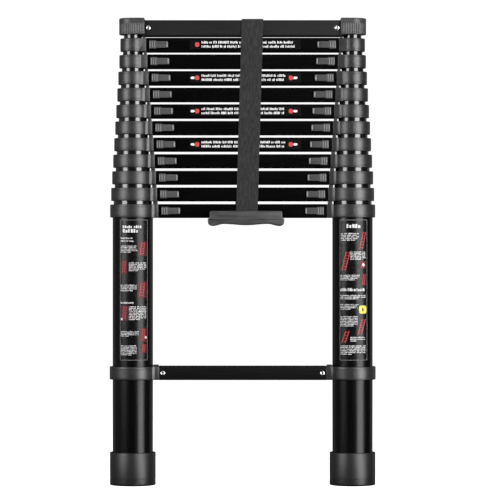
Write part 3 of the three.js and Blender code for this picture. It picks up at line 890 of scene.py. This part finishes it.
def handle():
    """A straight bar over a waved finger grip, turning on a rod that the keeper holds."""
    half = (HANDLE_HIGH.x - HANDLE_LOW.x) / 2
    top, back, front = HANDLE_HIGH.z, HANDLE_HIGH.y, HANDLE_LOW.y
    upper = rectangle(-HANDLE_HALF_TOP, HANDLE_HALF_TOP, HANDLE_SHOULDER - 4 * MM, top, 2.6 * MM)
    bar = Shells(slab(upper, -back, -front - 0.8 * MM, 2.2 * MM, on_front, steps=4))
    bar = bar.moved(x=HANDLE_X)
    bar = bar.piece("handle_bar", [GRIP_RUBBER], "handle", "handle_plastic", crease=50)
    steps = 48
    xs = [LOBE_X * (2 * i / steps - 1) for i in range(steps + 1)]
    wave = [(x, grip_underside(x)) for x in xs]
    turns = [math.pi / 2 * i / 5 for i in range(1, 6)]
    rise = 7.5 * MM
    out = half - LOBE_X
    end = [(LOBE_X + out * math.sin(t), LOBE_Z + rise * (1 - math.cos(t))) for t in turns]
    end += [(half, HANDLE_SHOULDER - 1 * MM), (half - 1 * MM, HANDLE_SHOULDER)]
    outline = wave + end + [(-x, z) for x, z in reversed(end)]
    grip = Shells(slab(outline, -back, -front, 2.6 * MM, on_front, steps=5))
    grip = grip.moved(x=HANDLE_X)
    grip = grip.piece("handle_grip", [GRIP_RUBBER], "handle", "handle_plastic", crease=50)
    for made in (bar, grip):
        recess = rod(RECESS_RADIUS, -RECESS_HALF, RECESS_HALF, ROD_Y, ROD_Z)
        cut(made, Shells(recess).moved(x=HANDLE_X))
    core = Shells(rod(ROD_RADIUS, -ROD_HALF, ROD_HALF, ROD_Y, ROD_Z)).moved(x=HANDLE_X)
    core = core.piece("handle_rod", [PIN_STEEL], "handle", "handle_plastic")
    for made in (bar, grip, core):
        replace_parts(made, "carry_handle")


# ---- labels ----
INK = 0.06 * MM  # thickness of a printed mark
FILM_THICKNESS = 0.18 * MM


def line_of_words(rng, left, right, low, high, letter):
    """Blocks the size of letters in groups the size of words, along one line."""
    marks, x = [], left
    while x < right - letter:
        for _ in range(rng.randint(2, 8)):
            if x + letter * 0.7 > right:
                break
            wide = letter * rng.uniform(0.55, 0.85)
            short = rng.random() < 0.4
            top = low + (high - low) * (0.72 if short else 1)
            marks.append((x, min(x + wide, right), low, top))
            x += letter
        x += letter * 0.8
    return marks


# The places of the film and the inks among a label's materials.
FILM_PLACE, WHITE, RED, YELLOW, GREY, BRIGHT_RED = range(6)


class Label:
    """A film with printed marks, gathered into one piece."""

    def __init__(self, place, seed):
        self.place = place
        self.shells = Shells()
        self.rng = random.Random(seed)

    def film(self, left, right, low, high):
        film = mark(left, right, low, high, self.place, 0.02 * MM, FILM_THICKNESS)
        self.shells.add(*film, FILM_PLACE)

    def ink(self, material, left, right, low, high, layer=0):
        base = FILM_THICKNESS + layer * INK
        printed_mark = mark(left, right, low, high, self.place, base, base + INK, 1.5 * MM)
        self.shells.add(*printed_mark, material)

    def round_ink(self, material, x, z, width, height, layer=0, square=2.0):
        """A disc, or with a larger power a rounded square."""
        base = FILM_THICKNESS + layer * INK
        steps, rings = 16, []
        for i in range(steps + 1):
            share = math.cos(math.pi * i / steps)
            rise = max(0.02, 1 - abs(share) ** square) ** (1 / square) * height / 2
            u = x - width / 2 * share
            low, high, top = z - rise, z + rise, base + INK
            corners = ((low, base), (high, base), (high, top), (low, top))
            rings.append([self.place(u, v, h) for v, h in corners])
        self.shells.add(*loft(rings), material)

    def words(self, left, right, low, high, letter=1.9 * MM):
        for marks in line_of_words(self.rng, left, right, low, high, letter):
            self.ink(WHITE, *marks)

    def paragraph(self, left, right, low, high, pitch=2.9 * MM):
        lines = max(1, round((high - low) / pitch))
        pitch = (high - low) / lines
        for i in range(lines):
            base = high - pitch * (i + 0.8)
            end = right if i < lines - 1 else left + (right - left) * self.rng.uniform(0.4, 0.9)
            self.words(left, end, base, base + 0.62 * pitch)

    def ladder_figure(self, left, right, low, high, spread, layer=0):
        """A small plain ladder. spread is its share of the width: a narrow one leans."""
        wide, tall = right - left, high - low
        lean, rail = wide * (1 - spread), max(0.7 * MM, 0.09 * wide)
        steps = 2 * max(4, round(tall / (5 * MM)))
        for i in range(steps):
            start = left + lean * i / steps
            bottom, top = low + tall * i / steps, low + tall * (i + 1) / steps
            end = start + spread * wide
            self.ink(BRIGHT_RED, start, start + rail, bottom, top, layer)
            self.ink(BRIGHT_RED, end - rail, end, bottom, top, layer)
            if i % 2:
                self.ink(BRIGHT_RED, start + rail, end - rail, bottom, bottom + 0.7 * MM, layer)

    def ladder_mark(self, left, right, low, high):
        """A dark red block with a small ladder on it."""
        self.ink(RED, left, right, low, high)
        wide, tall = right - left, high - low
        across, up = 0.2 * wide, 0.08 * tall
        self.ladder_figure(left + across, right - across, low + up, high - up, 0.7, layer=1)

    def piece(self, name, body, x, z):
        self.shells.moved(x=x, z=z)
        inks = [FILM, WHITE_INK, RED_INK, YELLOW_INK, GREY_INK, BRIGHT_RED_INK]
        return self.shells.piece(name, inks, body, None)


LABEL_TOP, LABEL_HEIGHT, LABEL_WIDTH = 491 * MM, 259 * MM, 50 * MM

# What is on the tall labels: (kind, left, right, top, bottom), in mm from the top left.
LEFT_LABEL = [
    ("title", 5, 41, 10.6, 15.3),
    ("title", 5, 41, 17, 23.6),
    ("words", 0, 26, 32.5, 35.3),
    ("words", 0, 26, 37.7, 40.5),
    ("red", 33, 49.5, 40, 67),
    ("paragraph", 0, 32, 47, 61),
    ("red", 1, 13, 74, 100),
    ("paragraph", 16.5, 49.5, 78, 95),
    ("red", 32, 49.5, 114, 144),
    ("paragraph", 0, 31, 119, 132),
    ("words", 0, 26, 151.5, 154.5),
    ("red", 1, 15, 158, 186),
    ("dot", 1, 5, 181, 185),
    ("paragraph", 16.5, 49.5, 159, 185),
    ("paragraph", 0, 35, 205, 215.6),
    ("red", 36.5, 49.5, 199, 226),
    ("dot", 45, 49.5, 214.5, 219),
    ("red", 37.7, 49.5, 228.5, 246),
    ("paragraph", 0, 31, 231, 250),
]
RIGHT_LABEL = [
    ("title", 12, 39, 8, 15),
    ("paragraph", 2, 35, 24, 39),
    ("ladder", 36, 48.5, 22, 54),
    ("paragraph", 19, 48, 58, 74),
    ("ladder", 3, 19, 59, 94),
    ("dot", 40.5, 45.5, 80, 86),
    ("red", 36.5, 48, 76, 90),
    ("red", 39, 48.5, 99, 122),
    ("paragraph", 0, 36, 101, 112),
    ("words", 0, 46, 126, 131.5),
    ("paragraph", 0, 48, 138, 147),
    ("paragraph", 0, 34, 155, 166),
    ("yellow", 35, 49, 158, 173),
    ("paragraph", 0, 33, 177, 197),
    ("ladder", 33, 48, 183, 211),
    ("ladder", 3, 18, 205, 227),
    ("paragraph", 19, 48, 215, 225),
    ("paragraph", 0, 48, 231, 249),
]


def tall_label(name, side, shift, layout, seed):
    """A label wrapped around the front of a base tube."""
    label = Label(around(BASE_TUBE_RADIUS), seed)
    left = -LABEL_WIDTH / 2 + shift
    low = -LABEL_HEIGHT
    border = 1 * MM
    label.film(left - border, left + LABEL_WIDTH + border, low - border, border)
    for edges in (
        (left, left + 0.6 * MM, low, 0),
        (left + LABEL_WIDTH - 0.6 * MM, left + LABEL_WIDTH, low, 0),
        (left, left + LABEL_WIDTH, -0.8 * MM, 0),
        (left, left + LABEL_WIDTH, low, low + 0.8 * MM),
    ):
        label.ink(GREY, *edges)
    for kind, *sizes in layout:
        a, b, top, bottom = (size * MM for size in sizes)
        a, b = max(a, 1.2 * MM), min(b, 48.8 * MM)
        box = left + a, left + b, -bottom, -top
        middle = (box[0] + box[1]) / 2, (box[2] + box[3]) / 2
        wide, tall = box[1] - box[0], box[3] - box[2]
        if kind == "title":
            label.words(*box, letter=tall * 0.75)
        elif kind == "words":
            label.words(*box)
        elif kind == "paragraph":
            label.paragraph(*box)
        elif kind == "dot":
            label.round_ink(WHITE, *middle, wide, tall, layer=2)
        elif kind == "yellow":
            label.round_ink(YELLOW, *middle, wide, tall, square=4)
            label.round_ink(FILM_PLACE, *middle, wide * 0.2, tall * 0.4, layer=1, square=3)
        elif kind == "ladder":
            label.ladder_figure(*box, 0.5)
        else:
            label.ladder_mark(*box)
    label.piece(name, "base", side * STILE_X, LABEL_TOP)


def rung_label(number, full):
    """Two lines of small print on a rung's front, with plain marks at the ends."""
    label = Label(on_front, number)
    label.film(-98 * MM, 108 * MM, -8.5 * MM, 8.5 * MM)
    label.words(-76 * MM, (80 if full else 98) * MM, 2 * MM, 6.4 * MM, letter=2.5 * MM)
    label.words(-76 * MM, (78 if full else 100) * MM, -5.6 * MM, -1.2 * MM, letter=2.5 * MM)
    red, white = (BRIGHT_RED, 8 * MM, 8.5 * MM), (WHITE, 7.5 * MM, 4.5 * MM)
    marks = [(-84 * MM, red)]
    if full:
        marks += [(-92.5 * MM, white), (89 * MM, red), (97.5 * MM, white)]
    for x, (ink, width, height) in marks:
        label.round_ink(ink, x, 0, width, height, square=3)
    name = f"rung_label_{number:02d}"
    label.piece(name, section_body(number - 1), 0, rung_z(number)).location.y = RUNG_FACE


# ---- the ladder ----
for side_name, side in SIDES:
    for section in range(1, SECTIONS + 1):
        tube(side_name, side, section)
        if section > 1:
            end_plug(side_name, side, section)
        if section < SECTIONS:
            name, node = f"collar_{side_name}_{section:02d}", stile_node(side_name, section)
            inner = tube_radius(section)
            block_size = socket_reach(section), pad_height(section)
            collar(name, section + 1, side, node, inner, inner + COLLAR_WALL, *block_size)
            latch(side_name, side, section + 1)
    name, radii = f"lower_collar_{side_name}", (BASE_TUBE_RADIUS, LOWER_COLLAR_RADIUS)
    collar(name, 1, side, "base_section", *radii, LOWER_SOCKET_REACH, LOWER_PAD_HEIGHT)
    end_cap(side_name, side)
    foot(side_name, side)

half_length = STILE_X - LOWER_SOCKET_REACH
rung("bottom_rung", half_length, 1, "base", BOTTOM_RUNG_BLACK, "base_section")
for section in range(1, SECTIONS):
    number = section + 1
    node = f"rung_{number:02d}"
    reach = socket_reach(section)
    slot_end = STILE_X - reach - STEM_START + 0.5 * MM
    slot_ends = (slot_end - STEM_LENGTH - LATCH_TRAVEL - 1 * MM, slot_end)
    half_length, body = STILE_X - reach - GAP, section_body(section)
    rung(f"{node}_black", half_length, number, body, RUNG_BLACK, node, slot_ends)
half_length = STILE_X - CAP_REACH + CAP_POCKET
rung("top_rung", half_length, TOP_RUNG, "section_12", TOP_RUNG_BLACK, "top_section")
carrying_strap()
keeper()
handle()

for side_name, side in SIDES:
    rivet(f"rivet_top_{side_name}", side * TOP_RIVET_X, RUNG_FACE, rung_z(TOP_RUNG), "section_12")
    rivet(f"rivet_bottom_{side_name}", side * BOTTOM_RIVET_X, RUNG_FACE, rung_z(1), "base")

tall_label("label_left", -1, 3 * MM, LEFT_LABEL, 11)
tall_label("label_right", 1, 0.7 * MM, RIGHT_LABEL, 12)
for number, full in ((12, False), (10, True), (8, True), (6, True)):
    rung_label(number, full)


# ---- floor, light and camera ----
def area_light(name, place, aim, width, height, power, roll=0.0):
    lamp = bpy.data.lights.new(name, "AREA")
    lamp.shape = "RECTANGLE"
    lamp.size, lamp.size_y, lamp.energy = width, height, power
    made = in_scene(name, lamp)
    made.location = place
    facing = (Vector(aim) - Vector(place)).to_track_quat("-Z", "Y")
    made.rotation_euler = (facing @ Quaternion((0, 0, 1), math.radians(roll))).to_euler()
    made.visible_camera = False


LIGHT_DISTANCE = 2.4
# Each light's angle to the right of straight ahead, height, width, own height, power and roll.
for name, azimuth, z, width, height, power, roll in (
    ("right_strip", 42, 0.6, 1.4, 2.4, 118, 20),
    ("left_strip", -52, 0.99, 1.2, 1.38, 47, 0),
    ("left_rear", -107, 0.7, 4.5, 2.4, 7, 0),
    ("right_rear", 142, 0.7, 2.5, 2.4, 6, 0),
):
    turn = math.radians(azimuth)
    place = (LIGHT_DISTANCE * math.sin(turn), -LIGHT_DISTANCE * math.cos(turn), z)
    area_light(name, place, (0, 0, z), width, height, power, roll)
area_light("top_soft", (0, -0.6, 2.6), (0, 0, 0.43), 2.0, 1.2, 10)

floor_mesh = bpy.data.meshes.new("floor")
floor_mesh.from_pydata([(-6, -6, 0), (6, -6, 0), (6, 6, 0), (-6, 6, 0)], [], [[0, 1, 2, 3]])
floor = in_scene("floor", floor_mesh)
floor_paper = Nodes("floor_paper", Roughness=0.8)
floor_paper.shader.inputs["Base Color"].default_value = grey(0.9)
floor_paper.shader.inputs["Emission Color"].default_value = grey(1.0)
floor_paper.shader.inputs["Emission Strength"].default_value = 1.0
floor_mesh.materials.append(floor_paper.material)
floor.visible_diffuse = floor.visible_glossy = False

world = bpy.data.worlds.new("studio")
bpy.context.scene.world = world
world.use_nodes = True
sky = world.node_tree
backdrop = sky.nodes.new("ShaderNodeBackground")
backdrop.inputs["Color"].default_value = (1, 1, 1, 1)
backdrop.inputs["Strength"].default_value = 1.05
room = sky.nodes["Background"]
room.inputs["Color"].default_value = (0.02, 0.02, 0.02, 1)
seen = sky.nodes.new("ShaderNodeLightPath")
choice = sky.nodes.new("ShaderNodeMixShader")
sky.links.new(seen.outputs["Is Camera Ray"], choice.inputs[0])
sky.links.new(room.outputs[0], choice.inputs[1])
sky.links.new(backdrop.outputs[0], choice.inputs[2])
sky.links.new(choice.outputs[0], sky.nodes["World Output"].inputs["Surface"])

camera = in_scene("camera", bpy.data.cameras.new("camera"))
camera.location = (0.0136, -5.04, 0.4353)
camera.rotation_euler = (math.pi / 2, 0, 0)
camera.data.lens, camera.data.sensor_width = 195.6, 36
bpy.context.scene.camera = camera
bpy.context.scene.view_settings.view_transform = "Standard"
